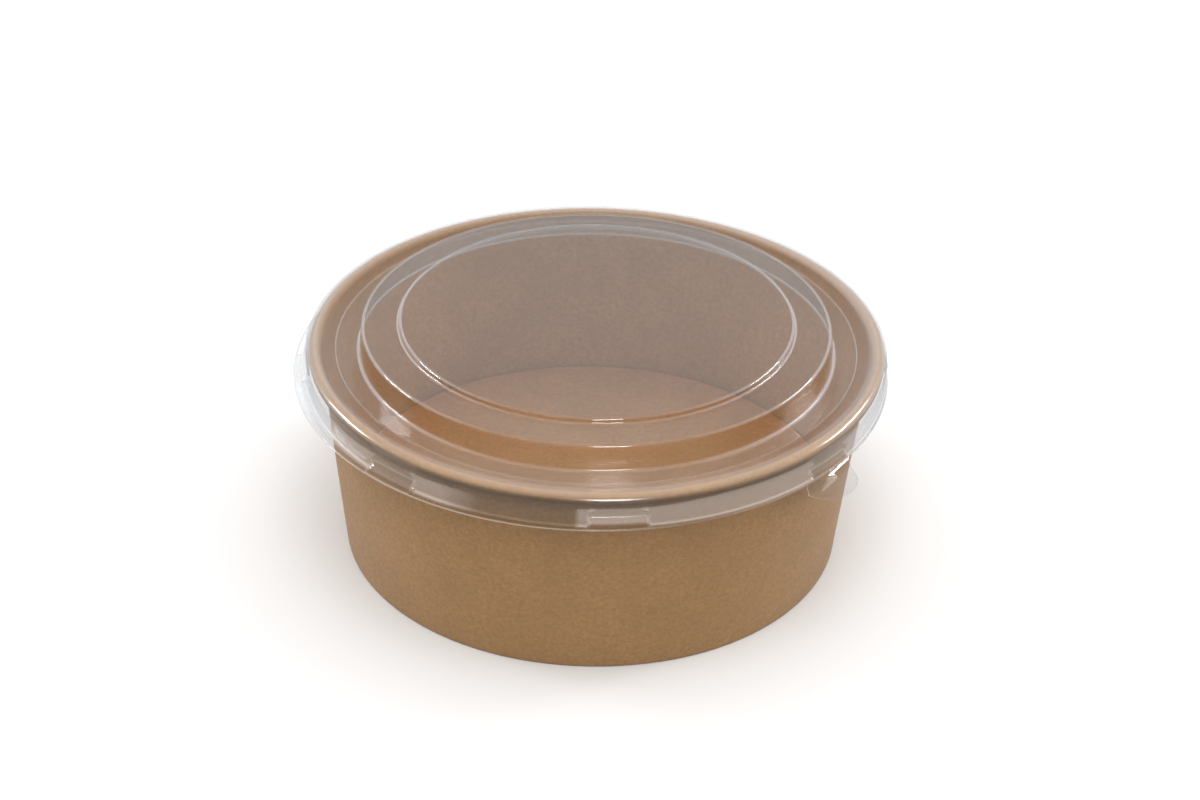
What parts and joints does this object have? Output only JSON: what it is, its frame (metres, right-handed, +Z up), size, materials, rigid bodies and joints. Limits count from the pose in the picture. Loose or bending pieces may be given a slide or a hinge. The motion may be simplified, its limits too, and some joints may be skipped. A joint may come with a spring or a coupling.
{
  "type": "takeaway salad bowl with lid",
  "caption": "Round kraft-paper takeaway salad bowl, empty, with a rolled rim, a set-in bottom and a clear press-on lid with a raised dome and a pull tab.",
  "frame": {"origin": "centre of the ring the bowl stands on, in the plane of the surface it stands on", "axes": "+Z up along the bowl's axis; +X to the right and -Y to the front; the pull tab is at the front right, 40 degrees clockwise from +X seen from above"},
  "size_m": [0.1561, 0.1562, 0.0646],
  "materials": {
    "kraft_wall": "matte brown kraft board, finely fibred",
    "kraft_bottom": "brown kraft board with a thin satin coating",
    "clear_lid": "thin clear thermoformed plastic, glossy"
  },
  "bodies": {
    "root": {"bowl_wall": "kraft_wall", "bowl_bottom": "kraft_bottom", "lid": "clear_lid"}
  },
  "joints": []
}
